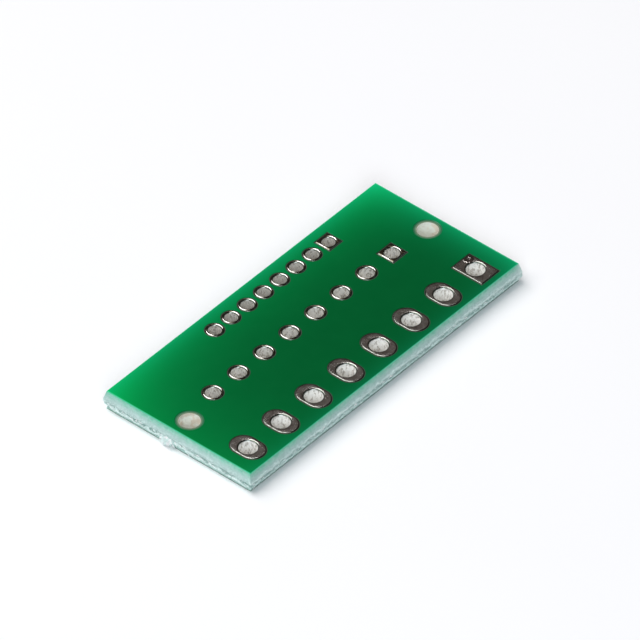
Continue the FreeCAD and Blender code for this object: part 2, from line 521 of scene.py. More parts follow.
def green_mask():
    """Glossy green film with a painted glow near the sides where light soaks into the laminate, a
    painted rim glow, a painted highlight line along the top outline and painted shade along the
    underside's outline.
    """
    material, tree, shader = new_finish("green_solder_mask")
    place = object_place(tree)
    axes = split_axes(tree, place)
    wide = group_node(tree, EDGE_LIGHT, place, Reach_X=3.0 * MM, Reach_Y=1.7 * MM)
    tight = group_node(tree, EDGE_LIGHT, place, Reach_X=0.8 * MM, Reach_Y=0.5 * MM)
    soaked = soaked_light(tree, place, wide, tight)
    body = mix_colors(tree, soaked, MASK_DARK, MASK_GLOW)
    # Painted glow: a rim of brighter colour along the far and near sides and the +X end
    rim_glow = weighted_sum(tree, (tight["Far"], 0.26), (tight["Near"], 0.10), (tight["Right"], 0.26))
    body = mix_colors(tree, rim_glow, body, MASK_RIM_GLOW)
    # Painted highlight line along the top film's outline, and painted shade along the underside's
    # outline
    on_top = math_node(tree, "GREATER_THAN", axes["Z"], MIDDLE * MM)
    edge_highlight_and_shade = mix_colors(tree, on_top, MASK_SHADOW, MASK_EDGE_HIGHLIGHT)
    body = mix_colors(tree, film_edge(tree, tight), body, edge_highlight_and_shade)
    put(tree, body, shader.inputs["Base Color"])
    rough = noise_node(tree, place, 1500.0, 3.0)
    shine = math_node(tree, "MULTIPLY_ADD", rough, 0.12, 0.16)
    put(tree, shine, shader.inputs["Roughness"])
    uneven = group_node(
        tree, UNEVEN, place, Wave_Scale=900.0, Grain_Scale=9000.0, Grain_Share=0.15
    )
    cloth = group_node(tree, CLOTH, place, Thread_Scale=14000.0)
    height = math_node(tree, "MULTIPLY_ADD", cloth["Height"], 0.06, uneven["Height"])
    add_relief(tree, shader, height, 0.35, 0.02)
    put(tree, 0.4, shader.inputs["Specular IOR Level"])
    put(tree, MASK_TINT, shader.inputs["Specular Tint"])
    return material


# Tin, in millimetres: pairs of levels over the foot of the lands (the crown pairs end the painted
# shade on the feet), row limits along Y, and the sizes of the painted shade on the ring sides and of
# the mark beside pin C1
TIN_LAND = (0.90, 0.86, 0.82)
TIN_STAIN = (0.52, 0.46, 0.43)
TIN_BARREL = (1.0, 0.99, 0.95)
TIN_DULL = (0.56, 0.53, 0.48)
TIN_FOOT_SHADE = (0.11, 0.14, 0.11)
TIN_MARK = (0.30, 0.25, 0.23)
TIN_BROWN = (0.40, 0.35, 0.27)
TIN_RING_SIDE_SHADE = (0.26, 0.22, 0.16)
LAND_FOOT = LAMINATE_TOP - MIDDLE
LAND_STARTS = (-0.05, 0.04)
CROWN_SHADE_LEVELS = (0.047, 0.055)
FINE_CROWN_SHADE_LEVELS = (0.039, 0.051)
ROW_C_LIMIT = -1.5
ROW_A_LIMIT = 2.2
RING_SHADE_FROM, RING_SHADE_TO = 0.16, 0.31
MARK_ASIDE = Vector((0.35, 0.77, 0))
MARK_INNER, MARK_OUTER = 0.08, 0.30
MARK_SPREAD = 0.14


def over_foot(tree, height, levels):
    """0 below and 1 above two levels over the foot of the lands."""
    low, high = levels
    return smooth_range(tree, height, (LAND_FOOT + low) * MM, (LAND_FOOT + high) * MM)


def solder_mark(tree, place):
    """A dark broken ring on the land of pin C1."""
    reach = distance_to(tree, place, bore_place("pin_c1") + MARK_ASIDE + Vector((0, 0, MASK_HIGH.z)))
    grain = noise_node(tree, place, 9000.0, 2.0)
    spread = math_node(tree, "MULTIPLY_ADD", grain, MARK_SPREAD * MM, -MARK_SPREAD / 2 * MM)
    reach = math_node(tree, "ADD", reach, spread)
    ring_middle = (MARK_OUTER + MARK_INNER) / 2 * MM
    half_ring = (MARK_OUTER - MARK_INNER) / 2 * MM
    off_ring = math_node(tree, "SUBTRACT", reach, ring_middle)
    off_ring = math_node(tree, "ABSOLUTE", off_ring)
    clear = smooth_range(tree, off_ring, 0.3 * half_ring, 1.2 * half_ring)
    return math_node(tree, "SUBTRACT", 1.0, clear)


def ring_side_shade(tree, axes, fine_rows, row_a):
    """Painted shade on the sides of the rings of rows A and B, away from the row's line, where they
    reflect darkness.
    """
    row_b_y = bore_place("pin_b1").y * MM
    row_a_y = bore_place("pin_a1").y * MM
    centre = math_node(tree, "MULTIPLY_ADD", row_a, row_a_y - row_b_y, row_b_y)
    aside = math_node(tree, "SUBTRACT", axes["Y"], centre)
    aside = math_node(tree, "ABSOLUTE", aside)
    shade_share = smooth_range(tree, aside, RING_SHADE_FROM * MM, RING_SHADE_TO * MM)
    return math_node(tree, "MULTIPLY", shade_share, fine_rows)


def crown_above_shade(tree, height, fine_rows):
    """0 on the foot of a land, which gets painted shade that also dims its reflections, and 1 on its
    crown, which starts lower on rows A and B.
    """
    crown = over_foot(tree, height, CROWN_SHADE_LEVELS)
    fine_crown = over_foot(tree, height, FINE_CROWN_SHADE_LEVELS)
    fine_crown = math_node(tree, "MULTIPLY", fine_crown, fine_rows)
    return math_node(tree, "MAXIMUM", crown, fine_crown)


def barrel_color(tree, streaks, row_a):
    """Streaked tin in the holes, browner in row A."""
    bright = smooth_range(tree, streaks, 0.40, 0.50)
    barrel = mix_colors(tree, bright, TIN_DULL, TIN_BARREL)
    brown = smooth_range(tree, streaks, 0.47, 0.57)
    share = math_node(tree, "MULTIPLY_ADD", row_a, 0.36, 0.01)
    brown = math_node(tree, "MULTIPLY", brown, share)
    return mix_colors(tree, brown, barrel, TIN_BROWN)


def tin():
    """Tinned copper: smooth crowned lands and rougher, streaked walls in the holes, with painted
    shade on the lands' feet and on the ring sides of rows A and B.
    """
    material, tree, shader = new_finish("tinned_copper")
    place = object_place(tree)
    axes = split_axes(tree, place)
    level = math_node(tree, "SUBTRACT", axes["Z"], MIDDLE * MM)
    height = math_node(tree, "ABSOLUTE", level)
    on_land = over_foot(tree, height, LAND_STARTS)
    off_land = math_node(tree, "SUBTRACT", 1.0, on_land)
    fine_rows = math_node(tree, "GREATER_THAN", axes["Y"], ROW_C_LIMIT * MM)
    row_a = math_node(tree, "GREATER_THAN", axes["Y"], ROW_A_LIMIT * MM)
    patches = noise_node(tree, place, 2600.0, 4.0, 0.6)
    streaks = noise_node(tree, stretched(tree, place, 1.0, 1.0, 0.55), 7500.0, 4.0, 0.7)
    mark = solder_mark(tree, place)

    stained = smooth_range(tree, patches, 0.48, 0.64)
    land = mix_colors(tree, stained, TIN_LAND, TIN_STAIN)
    # Painted shade on the ring sides of rows A and B, for the dark they reflect
    land = mix_colors(tree, ring_side_shade(tree, axes, fine_rows, row_a), land, TIN_RING_SIDE_SHADE)
    # Painted shade on the foot of each land, which also dims its reflections there
    land = mix_colors(tree, crown_above_shade(tree, height, fine_rows), TIN_FOOT_SHADE, land)
    land = mix_colors(tree, mark, land, TIN_MARK)
    body = mix_colors(tree, on_land, barrel_color(tree, streaks, row_a), land)
    put(tree, body, shader.inputs["Base Color"])

    in_hole = math_node(tree, "MULTIPLY_ADD", fine_rows, 0.55, 0.05)
    metal = math_node(tree, "MULTIPLY_ADD", in_hole, off_land, on_land)
    put(tree, metal, shader.inputs["Metallic"])
    matt = math_node(tree, "MULTIPLY_ADD", on_land, -0.16, 0.30)
    rough = math_node(tree, "MULTIPLY_ADD", patches, 0.12, matt)
    put(tree, rough, shader.inputs["Roughness"])

    uneven = group_node(
        tree, UNEVEN, place, Wave_Scale=2600.0, Grain_Scale=16000.0, Grain_Share=0.25
    )
    relief = math_node(tree, "MULTIPLY_ADD", streaks, 0.6, uneven["Height"])
    soft = math_node(tree, "MULTIPLY_ADD", on_land, -0.60, 1.0)
    relief = math_node(tree, "MULTIPLY", relief, soft)
    relief = math_node(tree, "MULTIPLY_ADD", mark, 0.45, relief)
    add_relief(tree, shader, relief, 0.5, 0.04)
    return material


# Glass laminate, in millimetres: the bands of its sides are (level over the floor, colour), and the
# shade and highlight bands are painted shade and painted highlights
GLASS_MINT = (0.15, 0.54, 0.37)
GLASS_GREEN = (0.26, 0.61, 0.48)
GLASS_PALE = (0.38, 0.61, 0.545)
GLASS_GREY = (0.50, 0.68, 0.645)
GLASS_HIGHLIGHT = (0.84, 1.0, 0.96)
GLASS_SHADE = (0.24, 0.41, 0.37)
CREAM = (0.97, 1.0, 0.92)
BEIGE = (0.86, 0.79, 0.67)
RING_BROWN = (0.22, 0.28, 0.18)
RESIN_RING = (0.01, 0.15, 0.06)
LAMINATE_GAP_SHADE = (0.030, 0.045, 0.030)
SAWN_BANDS = (
    (0.76, GLASS_GREY),
    (0.92, GLASS_PALE),
    (1.05, GLASS_GREEN),
    (1.13, GLASS_MINT),
)
# The shade bands paint shade into the crack and, on the long side, onto the lower bevel; the
# highlight bands paint highlights on the ridges
SHORT_SIDE_BANDS = (
    (0.20, GLASS_PALE),
    (0.32, GLASS_GREY),
    (0.37, GLASS_HIGHLIGHT),
    (0.43, GLASS_HIGHLIGHT),
    (0.475, GLASS_SHADE),
    (0.535, GLASS_SHADE),
    (0.57, GLASS_GREY),
) + SAWN_BANDS
LONG_SIDE_BANDS = (
    (0.20, GLASS_SHADE),
    (0.28, GLASS_PALE),
    (0.38, GLASS_HIGHLIGHT),
    (0.44, GLASS_GREY),
    (0.49, GLASS_SHADE),
    (0.53, GLASS_SHADE),
    (0.58, GLASS_GREY),
    (0.68, GLASS_HIGHLIGHT),
) + SAWN_BANDS
BAND_WANDER = 0.36
SAWN_FROM, SAWN_TO = 0.70, 0.85
SIDE_DEPTH = 0.2
CORNER_HIGHLIGHT_START = HALF_LENGTH - 0.35
CORNER_HIGHLIGHT_END = HALF_LENGTH + 0.10
TOP_FACE = LAMINATE_TOP - 0.01

# Distances from the middle point of a tooling hole
TOOL_REACH = 1.2
RING_PALE = 0.80
RING_GREEN = 0.90


def band_colors(tree, level, bands):
    """Colours by level, from the lowest band to the highest."""
    low, high = bands[0][0], bands[-1][0]
    share = tree.nodes.new("ShaderNodeMapRange")
    share.inputs["From Min"].default_value = low * MM
    share.inputs["From Max"].default_value = high * MM
    put(tree, level, share.inputs["Value"])
    stops = [((place - low) / (high - low), color) for place, color in bands]
    return ramp(tree, share.outputs["Result"], stops)


def glass_strands(tree, place):
    """Streaks where strands that run either way come to the surface."""
    along_x = noise_node(tree, stretched(tree, place, 0.2, 1, 1), 9000.0, 4.0, 0.65)
    along_y = noise_node(tree, stretched(tree, place, 1, 0.2, 1), 9000.0, 4.0, 0.65)
    return smooth_range(tree, math_node(tree, "MULTIPLY", along_x, along_y), 0.14, 0.36)


def side_colors(tree, place, axes, strands, on_end):
    """Bands of the scored and torn sides with painted shade and highlights, streaked by painted
    shade and highlights on the strands and less so where sawn, with a painted highlight towards the
    +X end.
    """
    blotch = noise_node(tree, place, 3500.0, 3.0)
    ragged = math_node(tree, "MULTIPLY_ADD", blotch, BAND_WANDER * MM, -BAND_WANDER / 2 * MM)
    level = math_node(tree, "ADD", axes["Z"], ragged)
    long_side = band_colors(tree, level, LONG_SIDE_BANDS)
    short_side = band_colors(tree, level, SHORT_SIDE_BANDS)
    side = mix_colors(tree, on_end, long_side, short_side)
    sawn = smooth_range(tree, axes["Z"], SAWN_FROM * MM, SAWN_TO * MM)
    strength = math_node(tree, "MULTIPLY_ADD", sawn, -0.60, 1.0)
    # Painted shade and painted highlights on the strands
    shaded = math_node(tree, "MULTIPLY", strength, 0.42)
    shaded = mix_colors(tree, shaded, side, GLASS_SHADE)
    lit = math_node(tree, "MULTIPLY", strength, 0.32)
    lit = mix_colors(tree, lit, side, GLASS_HIGHLIGHT)
    side = mix_colors(tree, strands, shaded, lit)
    # Painted highlight on the sides towards the +X end
    corner = smooth_range(tree, axes["X"], CORNER_HIGHLIGHT_START * MM, CORNER_HIGHLIGHT_END * MM)
    corner = math_node(tree, "MULTIPLY", corner, 0.55)
    return mix_colors(tree, corner, side, GLASS_HIGHLIGHT)


def tool_hole_distance(tree, place):
    """Distance to the middle of the nearer tooling hole."""
    nearest = [
        distance_to(tree, place, bore_place(name) + Vector((0, 0, MIDDLE)))
        for name in TOOL_HOLES
    ]
    return math_node(tree, "MINIMUM", *nearest)


def drilled_colors(tree, place, axes):
    """Creamy walls and resin rims of the tooling holes, and elsewhere a dark colour that paints
    shade into the mask gaps round the pads.
    """
    patch = noise_node(tree, place, 1800.0, 3.0)
    patch = smooth_range(tree, patch, 0.46, 0.62)
    wall = mix_colors(tree, patch, CREAM, BEIGE)
    distance = tool_hole_distance(tree, place)
    outer = smooth_range(tree, distance, RING_PALE * MM, RING_GREEN * MM)
    ring = mix_colors(tree, outer, RING_BROWN, RESIN_RING)
    on_top = math_node(tree, "GREATER_THAN", axes["Z"], TOP_FACE * MM)
    drilled = mix_colors(tree, on_top, wall, ring)
    at_tool = math_node(tree, "LESS_THAN", distance, TOOL_REACH * MM)
    # Away from the tooling holes the laminate is painted dark, as shade in the mask gaps round the
    # pads
    return mix_colors(tree, at_tool, LAMINATE_GAP_SHADE, drilled)


def laminate_finish():
    """Pale glass-fibre edges with painted shade and highlights, greener under the mask, and creamy
    walls in the drilled holes, with painted shade in the mask gaps round the pads.
    """
    material, tree, shader = new_finish("glass_laminate")
    place = object_place(tree)
    axes = split_axes(tree, place)
    strands = glass_strands(tree, place)
    sides = group_node(tree, EDGE_LIGHT, place, Reach_X=SIDE_DEPTH * MM, Reach_Y=SIDE_DEPTH * MM)
    ends = math_node(tree, "ADD", sides["Left"], sides["Right"])
    longs = math_node(tree, "ADD", sides["Near"], sides["Far"])
    on_end = math_node(tree, "GREATER_THAN", ends, longs)
    outside = math_node(tree, "ADD", ends, longs, clamp=True)
    outside = smooth_range(tree, outside, 0.15, 0.45)
    inner = drilled_colors(tree, place, axes)
    side = side_colors(tree, place, axes, strands, on_end)
    put(tree, mix_colors(tree, outside, inner, side), shader.inputs["Base Color"])
    put(tree, 0.55, shader.inputs["Roughness"])
    uneven = group_node(
        tree, UNEVEN, place, Wave_Scale=5000.0, Grain_Scale=26000.0, Grain_Share=0.5
    )
    relief = math_node(tree, "ADD", uneven["Height"], strands)
    add_relief(tree, shader, relief, 0.6, 0.04)
    return material


# Loose fibres, copper and floor
def two_tone(name, scale, detail, blend, first, second, roughness):
    """A plain finish that drifts between two colours."""
    material, tree, shader = new_finish(name)
    shade = noise_node(tree, object_place(tree), scale, detail)
    if blend:
        shade = smooth_range(tree, shade, *blend)
    put(tree, mix_colors(tree, shade, first, second), shader.inputs["Base Color"])
    put(tree, roughness, shader.inputs["Roughness"])
    return material, shader


FIBRE_WHITE = (1.0, 1.0, 1.0)
FIBRE_GREEN = (0.72, 0.86, 0.83)
COPPER_LIGHT = (0.78, 0.42, 0.25)
COPPER_DARK = (0.62, 0.31, 0.18)
FLOOR_COOL = (0.965, 0.965, 0.97)
FLOOR_WARM = (0.985, 0.98, 0.985)


def fibre_finish():
    """Loose glass fibres: whitish with a faint green cast."""
    return two_tone(
        "glass_fibre", 6000.0, 2.0, (0.42, 0.60), FIBRE_WHITE, FIBRE_GREEN, 0.35
    )[0]


def copper_finish():
    """Bare copper foil, under the mask."""
    material, shader = two_tone(
        "copper_foil", 3000.0, 3.0, None, COPPER_LIGHT, COPPER_DARK, 0.35
    )
    shader.inputs["Metallic"].default_value = 1.0
    return material


def floor_finish():
    """A plain pale floor without shine."""
    material, shader = two_tone("white_floor", 60.0, 2.0, None, FLOOR_COOL, FLOOR_WARM, 0.9)
    shader.inputs["Specular IOR Level"].default_value = 0.0
    return material


GREEN_MASK = green_mask()
TIN = tin()
LAMINATE = laminate_finish()
FIBRE = fibre_finish()
COPPER = copper_finish()


# Plated holes: the upper half is modelled once a kind, mirrored, and copied to its pins.
# The rings of a crown are (height over the foot, how far in), in millimetres
LAND_WALL = 0.012
CROWN = ((0.024, 0.010), (0.040, 0.033), (0.050, 0.048), (0.055, 0.064))
FLAT_CROWN = ((0.036, 0.005), (0.044, 0.012), (0.048, 0.020), (0.053, 0.055), (0.055, 0.090))
MOUTH_ROUND = 0.085
WAIST = {"a": 1.0, "b": 1.0, "c": 0.88}
ROUND_STEPS = 5
RING_SHRINK = 0.7


def land_shape(letter, pin):
    """The outline of a pin's land."""
    if pin == 1:
        return "rectangle"
    return "obround" if letter == "c" else "round"


def ring_inwards(group, level):
    """Extrudes the selected outline flat inwards, to be cast to a circle later."""
    extrude()
    bpy.ops.transform.resize(
        value=(RING_SHRINK, RING_SHRINK, 1), center_override=(0, 0, level)
    )
    bpy.ops.object.vertex_group_add()
    bpy.context.object.vertex_groups.active.name = group
    bpy.ops.object.vertex_group_assign()


def cast_round(piece, group, radius):
    """Presses the vertices of a group out to an upright cylinder."""
    cast = piece.modifiers.new(group, "CAST")
    cast.cast_type = "CYLINDER"
    cast.use_z = False
    cast.factor = 1.0
    cast.use_radius_as_size = False
    cast.size = radius
    cast.vertex_group = group
    bpy.ops.object.modifier_apply(modifier=cast.name)


def plated_hole_master(letter, pin):
    """A whole plated hole round the origin: barrel, lands and crowned tin."""
    low, high = span(hole_node(letter, pin))
    width_x = high.x - low.x
    length_y = high.y - low.y
    bore = bore_radius(pin_mount(letter, pin))
    shape = land_shape(letter, pin)
    top = MIDDLE
    foot = LAMINATE_TOP - MIDDLE
    piece = start_piece("master", bpy.ops.mesh.primitive_circle_add, vertices=3, radius=1)
    bpy.ops.mesh.select_all(action="SELECT")
    bpy.ops.mesh.delete(type="VERT")
    add_outline(shape, width_x, length_y, foot)
    choose(at_level(foot))
    extrude(z=LAND_WALL)
    level, inset = foot + LAND_WALL, 0.0
    if shape == "rectangle":
        round_corners(width_x, length_y)
        choose(at_level(level))
    for height, next_inset in FLAT_CROWN if letter == "c" else CROWN:
        extrude(z=foot + height - level)
        shrink_x = (width_x - 2 * next_inset) / (width_x - 2 * inset)
        shrink_y = (length_y - 2 * next_inset) / (length_y - 2 * inset)
        level, inset = foot + height, next_inset
        bpy.ops.transform.resize(
            value=(shrink_x, shrink_y, 1), center_override=(0, 0, level)
        )
    ring_inwards("bore", top)
    extrude(z=-top)
    choose(at_level(foot))
    ring_inwards("drill", foot)
    extrude(z=-foot)
    bpy.ops.object.mode_set(mode="OBJECT")
    cast_round(piece, "bore", bore)
    cast_round(piece, "drill", bore + BARREL_WALL)
    bpy.ops.object.mode_set(mode="EDIT")
    choose(lambda co: abs(co.z) < NEAR and co.xy.length < bore + NEAR)
    bpy.ops.transform.resize(value=(WAIST[letter], WAIST[letter], 1), center_override=(0, 0, 0))
    choose(lambda co: abs(co.z - top) < NEAR and co.xy.length < bore + NEAR)
    round_edges(MOUTH_ROUND, ROUND_STEPS)
    bpy.ops.object.mode_set(mode="OBJECT")
    mirror = piece.modifiers.new("other_face", "MIRROR")
    mirror.use_axis = (False, False, True)
    mirror.merge_threshold = NEAR
    bpy.ops.object.modifier_apply(modifier=mirror.name)
    return piece


def plated_holes():
    """One master a kind, copied to every pin."""
    masters = {}
    for letter in ROWS:
        for pin in PINS:
            kind = (letter, pin == 1)
            if kind not in masters:
                masters[kind] = plated_hole_master(letter, pin)
            make_active(masters[kind])
            bpy.ops.object.duplicate(linked=False)
            piece = bpy.context.object
            node = hole_node(letter, pin)
            piece.name = "tinned_" + node
            piece.data.name = piece.name
            piece.location = bore_place(pin_mount(letter, pin)) + Vector((0, 0, MIDDLE))
            close_piece(piece, "tinned_plating", TIN, node)
    for master in masters.values():
        bpy.data.objects.remove(master)


# The top mask and its openings
def opening_size(node, gap):
    """Length and width of an opening that clears a pad by a gap all round."""
    low, high = span(node)
    return high.x - low.x + 2 * gap, high.y - low.y + 2 * gap


def add_openings(level):
    """An outline round every pad and tooling hole, at one level."""
    for letter in ROWS:
        for pin in PINS:
            node = hole_node(letter, pin)
            size = opening_size(node, MASK_GAP)
            low, high = span(node)
            add_outline(land_shape(letter, pin), *size, level, (low + high) / 2)
    for name in TOOL_HOLES:
        across = 2 * (bore_radius(name) + TOOL_MASK_GAP)
        add_outline("round", across, across, level, bore_place(name))


MASK_EDGE_ROUND = 0.012
MASK_OUTLINE_CUTS = 100


def top_mask():
    """The film over the plain face, with softly rounded openings."""
    piece = start_piece("green_mask_top", bpy.ops.mesh.primitive_plane_add, size=1)
    top = MASK_HIGH.z
    bpy.ops.mesh.select_all(action="SELECT")
    bpy.ops.transform.resize(value=(2 * HALF_LENGTH, 2 * HALF_WIDTH, 1))
    move(z=top)
    bpy.ops.mesh.delete(type="ONLY_FACE")
    choose(at_level(top))
    bpy.ops.mesh.subdivide(number_cuts=MASK_OUTLINE_CUTS)
    add_openings(top)
    bpy.ops.mesh.select_all(action="SELECT")
    bpy.ops.mesh.fill(use_beauty=True)
    bpy.ops.mesh.select_all(action="SELECT")
    extrude(z=LAMINATE_TOP - top)
    bpy.ops.mesh.select_all(action="SELECT")
    bpy.ops.mesh.normals_make_consistent(inside=False)
    bpy.ops.object.mode_set(mode="OBJECT")
    soft = piece.modifiers.new("soft_edge", "BEVEL")
    soft.width = MASK_EDGE_ROUND
    soft.segments = 2
    soft.limit_method = "ANGLE"
    bpy.ops.object.modifier_apply(modifier=soft.name)
    bpy.ops.object.shade_smooth()
    weighted = piece.modifiers.new("flat_faces", "WEIGHTED_NORMAL")
    bpy.ops.object.modifier_apply(modifier=weighted.name)
    dress_piece(piece, "solder_mask", GREEN_MASK, "solder_mask_top")


# Laminate: each ring of the profile is its level and how far it stands out on the short
# and the long sides, in millimetres, with how rough it is torn there
GROOVE_OUT = 0.115
PROFILE = [
    (1.150, 0.007, 0.007, 0.05),
    (1.060, 0.031, 0.031, 0.08),
    (0.970, 0.055, 0.055, 0.08),
    (0.880, 0.079, 0.079, 0.10),
    (0.800, 0.100, 0.100, 0.15),
    (0.735, GROOVE_OUT, GROOVE_OUT, 0.30),
    (0.690, 0.132, 0.130, 0.60),
    (0.645, 0.138, 0.136, 0.80),
    (0.600, 0.135, 0.140, 1.00),
    (0.560, 0.100, 0.136, 1.00),
    (0.530, 0.045, 0.110, 1.00),
    (0.500, 0.035, 0.100, 1.00),
    (0.470, 0.080, 0.125, 1.00),
    (0.435, 0.140, 0.145, 1.00),
    (0.395, 0.150, 0.150, 0.90),
    (0.355, 0.150, 0.150, 0.90),
    (0.320, 0.145, 0.145, 1.00),
    (0.285, 0.120, 0.120, 1.00),
    (0.260, 0.085, 0.085, 0.60),
    (0.220, 0.055, 0.055, 0.30),
    (0.160, 0.030, 0.030, 0.15),
    (0.090, 0.008, 0.008, 0.05),
]
COARSE_CUTS = 11
COLUMN_STEP = 0.040
TEAR_DEPTH = 0.10
TEAR_SIZE = 0.22
PIT_DEPTH = 0.055
PIT_SIZE = 0.07
TORN_RIM = 0.05


def outline_ring(level):
    """The board's outline, cut into fine columns."""
    bpy.ops.mesh.select_all(action="SELECT")
    bpy.ops.transform.resize(value=(2 * HALF_LENGTH, 2 * HALF_WIDTH, 1))
    move(z=level)
    bpy.ops.mesh.delete(type="ONLY_FACE")
    bpy.ops.mesh.select_all(action="SELECT")
    bpy.ops.mesh.subdivide(number_cuts=COARSE_CUTS)
    coarse_step = COLUMN_STEP * (COARSE_CUTS + 1)
    choose_edges(lambda start, end: abs(start.y - end.y) < NEAR)
    bpy.ops.mesh.subdivide(number_cuts=round(2 * HALF_LENGTH / coarse_step))
    choose_edges(lambda start, end: abs(start.x - end.x) < NEAR)
    bpy.ops.mesh.subdivide(number_cuts=round(2 * HALF_WIDTH / coarse_step))
    choose_vertices()


def ring_step(level, next_level, grow_x, grow_y):
    """Extrudes the outline to the next level and scales it there."""
    extrude(z=next_level - level)
    bpy.ops.transform.resize(value=(grow_x, grow_y, 1), center_override=(0, 0, next_level))


def rough_weight(level):
    """How strongly the surface is torn at a level, from the nearest rings."""
    for upper, lower in zip(PROFILE, PROFILE[1:]):
        if lower[0] - NEAR <= level <= upper[0] + NEAR:
            share = (upper[0] - level) / (upper[0] - lower[0])
            return upper[3] + (lower[3] - upper[3]) * share
    return 0.0


def tear(piece, label, size, depth, group):
    """Moves the vertices of a group in and out by a cloudy noise."""
    texture = bpy.data.textures.new(label, "CLOUDS")
    texture.noise_scale = size
    texture.noise_depth = 2
    torn = piece.modifiers.new(label, "DISPLACE")
    torn.texture = texture
    torn.texture_coords = "LOCAL"
    torn.strength = depth
    torn.mid_level = 0.5
    torn.vertex_group = group.name
    bpy.ops.object.modifier_apply(modifier=torn.name)
    bpy.data.textures.remove(texture)


# Worn places: levels, and how far in from a corner each pass reaches and moves it
GAP_LOW, GAP_HIGH = -0.55, 0.10
GAP_TOP = 0.37
GAP_DEPTH = 0.10
WORN_FOOT, WORN_TOP = LAMINATE_BOTTOM + 0.07, 0.33
CRACK_FOOT, CRACK_TOP = 0.48, 0.55
FAR_REACHES = (0.35, 0.22, 0.10)
FAR_WEAR = (0.018, -0.015)
FAR_CRACK = -0.03
NEAR_REACHES = (0.20, 0.10)
NEAR_WEAR = (0.03, 0.025)
NEAR_CRACK = (0.04, -0.01)


def wear_edges():
    """The gap torn beside the tuft, two lower corners broken in, and the crack by them."""
    left = -HALF_LENGTH - NEAR
    choose(lambda co: co.x < left and GAP_LOW < co.y < GAP_HIGH and WORN_FOOT < co.z < GAP_TOP)
    move(x=GAP_DEPTH)
    for reach in FAR_REACHES:
        edge = HALF_WIDTH - reach
        for worn_top in (WORN_TOP, CRACK_FOOT):
            choose(
                lambda co: co.x < left + reach and co.y > edge and WORN_FOOT < co.z < worn_top
            )
            move(*FAR_WEAR)
        choose(lambda co: co.x < 0 and co.y > edge and CRACK_FOOT < co.z < CRACK_TOP)
        move(x=FAR_CRACK)
    for reach in NEAR_REACHES:
        edge = HALF_WIDTH - reach
        choose(lambda co: co.x < left + reach and co.y < -edge and WORN_FOOT < co.z < WORN_TOP)
        move(*NEAR_WEAR)
        choose(
            lambda co: co.x > HALF_LENGTH - reach
            and co.y < -edge
            and CRACK_FOOT < co.z < CRACK_TOP
        )
        move(*NEAR_CRACK)


def laminate():
    """The scored and snapped board, cut by every drill."""
    piece = start_piece("glass_laminate", bpy.ops.mesh.primitive_plane_add, size=1)
    outline_ring(LAMINATE_TOP)
    choose(at_level(LAMINATE_TOP))
    level, out_x, out_y = LAMINATE_TOP, 0.0, 0.0
    for next_level, next_x, next_y, _ in PROFILE + [(LAMINATE_BOTTOM, 0.0, 0.0, 0.0)]:
        grow_x = (HALF_LENGTH + next_x) / (HALF_LENGTH + out_x)
        grow_y = (HALF_WIDTH + next_y) / (HALF_WIDTH + out_y)
        ring_step(level, next_level, grow_x, grow_y)
        level, out_x, out_y = next_level, next_x, next_y
    for face_level in (LAMINATE_TOP, LAMINATE_BOTTOM):
        for name in BORES:
            wall = BARREL_WALL if name.startswith("pin") else 0.0
            across = 2 * (bore_radius(name) + wall)
            add_outline("round", across, across, face_level, bore_place(name))
        choose(at_level(face_level))
        bpy.ops.mesh.fill(use_beauty=True)
    for name in BORES:
        centre = bore_place(name)
        reach = bore_radius(name) + BARREL_WALL + NEAR
        choose_edges(
            lambda start, end: (start.xy - centre.xy).length < reach
            and (end.xy - centre.xy).length < reach,
            open_only=True,
        )
        bpy.ops.mesh.bridge_edge_loops()
    choose_vertices()
    wear_edges()
    bpy.ops.mesh.select_all(action="SELECT")
    bpy.ops.mesh.normals_make_consistent(inside=False)
    bpy.ops.object.mode_set(mode="OBJECT")
    torn = piece.vertex_groups.new(name="torn")
    limit_x, limit_y = HALF_LENGTH - TORN_RIM, HALF_WIDTH - TORN_RIM
    for vertex in piece.data.vertices:
        if abs(vertex.co.x) > limit_x or abs(vertex.co.y) > limit_y:
            weight = rough_weight(vertex.co.z)
            if weight > 0:
                torn.add([vertex.index], weight, "REPLACE")
    tear(piece, "tear", TEAR_SIZE, TEAR_DEPTH, torn)
    tear(piece, "pits", PIT_SIZE, PIT_DEPTH, torn)
    return piece


# Loose fibres on the torn web and the tuft on the short edge. Places are in millimetres,
# and a strand's thickness is a share of the pattern's
STRAND_ROOT, STRAND_TIP = 0.045, 0.015
STRAND_BOW = 0.10
FIBRE_SEED = 7
STRAND_SPACING = 0.08
WEB_LEVELS = (0.32, 0.62)
WEB_STAND = (0.09, 0.14)
WEB_THICKNESS = (0.20, 0.55)
LYING_SHARE = 0.7
LYING_LENGTH = (0.10, 0.35)
STUB_LENGTH = (0.03, 0.06)
TUFT_STRANDS = 120
TUFT_CENTRE = 0.65
TUFT_HALF_WIDTH = 0.42
TUFT_STAND = 0.12
TUFT_LEVELS = (0.26, 0.56)
TUFT_LENGTH = (0.18, 0.42)
TUFT_THICKNESS = (0.45, 0.9)


def strand_mesh():
    """One thin tapered strand, a millimetre long along Z from its root, slightly bowed."""
    piece = start_piece(
        "strand",
        bpy.ops.mesh.primitive_cone_add,
        vertices=5,
        radius1=STRAND_ROOT,
        radius2=STRAND_TIP,
        depth=1,
        location=(0, 0, 0.5),
    )
    bpy.ops.mesh.select_all(action="SELECT")
    bpy.ops.mesh.subdivide(number_cuts=2)
    bpy.ops.object.mode_set(mode="OBJECT")
    bpy.ops.object.transform_apply(location=True)
    for vertex in piece.data.vertices:
        vertex.co.x += STRAND_BOW * vertex.co.z * vertex.co.z
    return piece


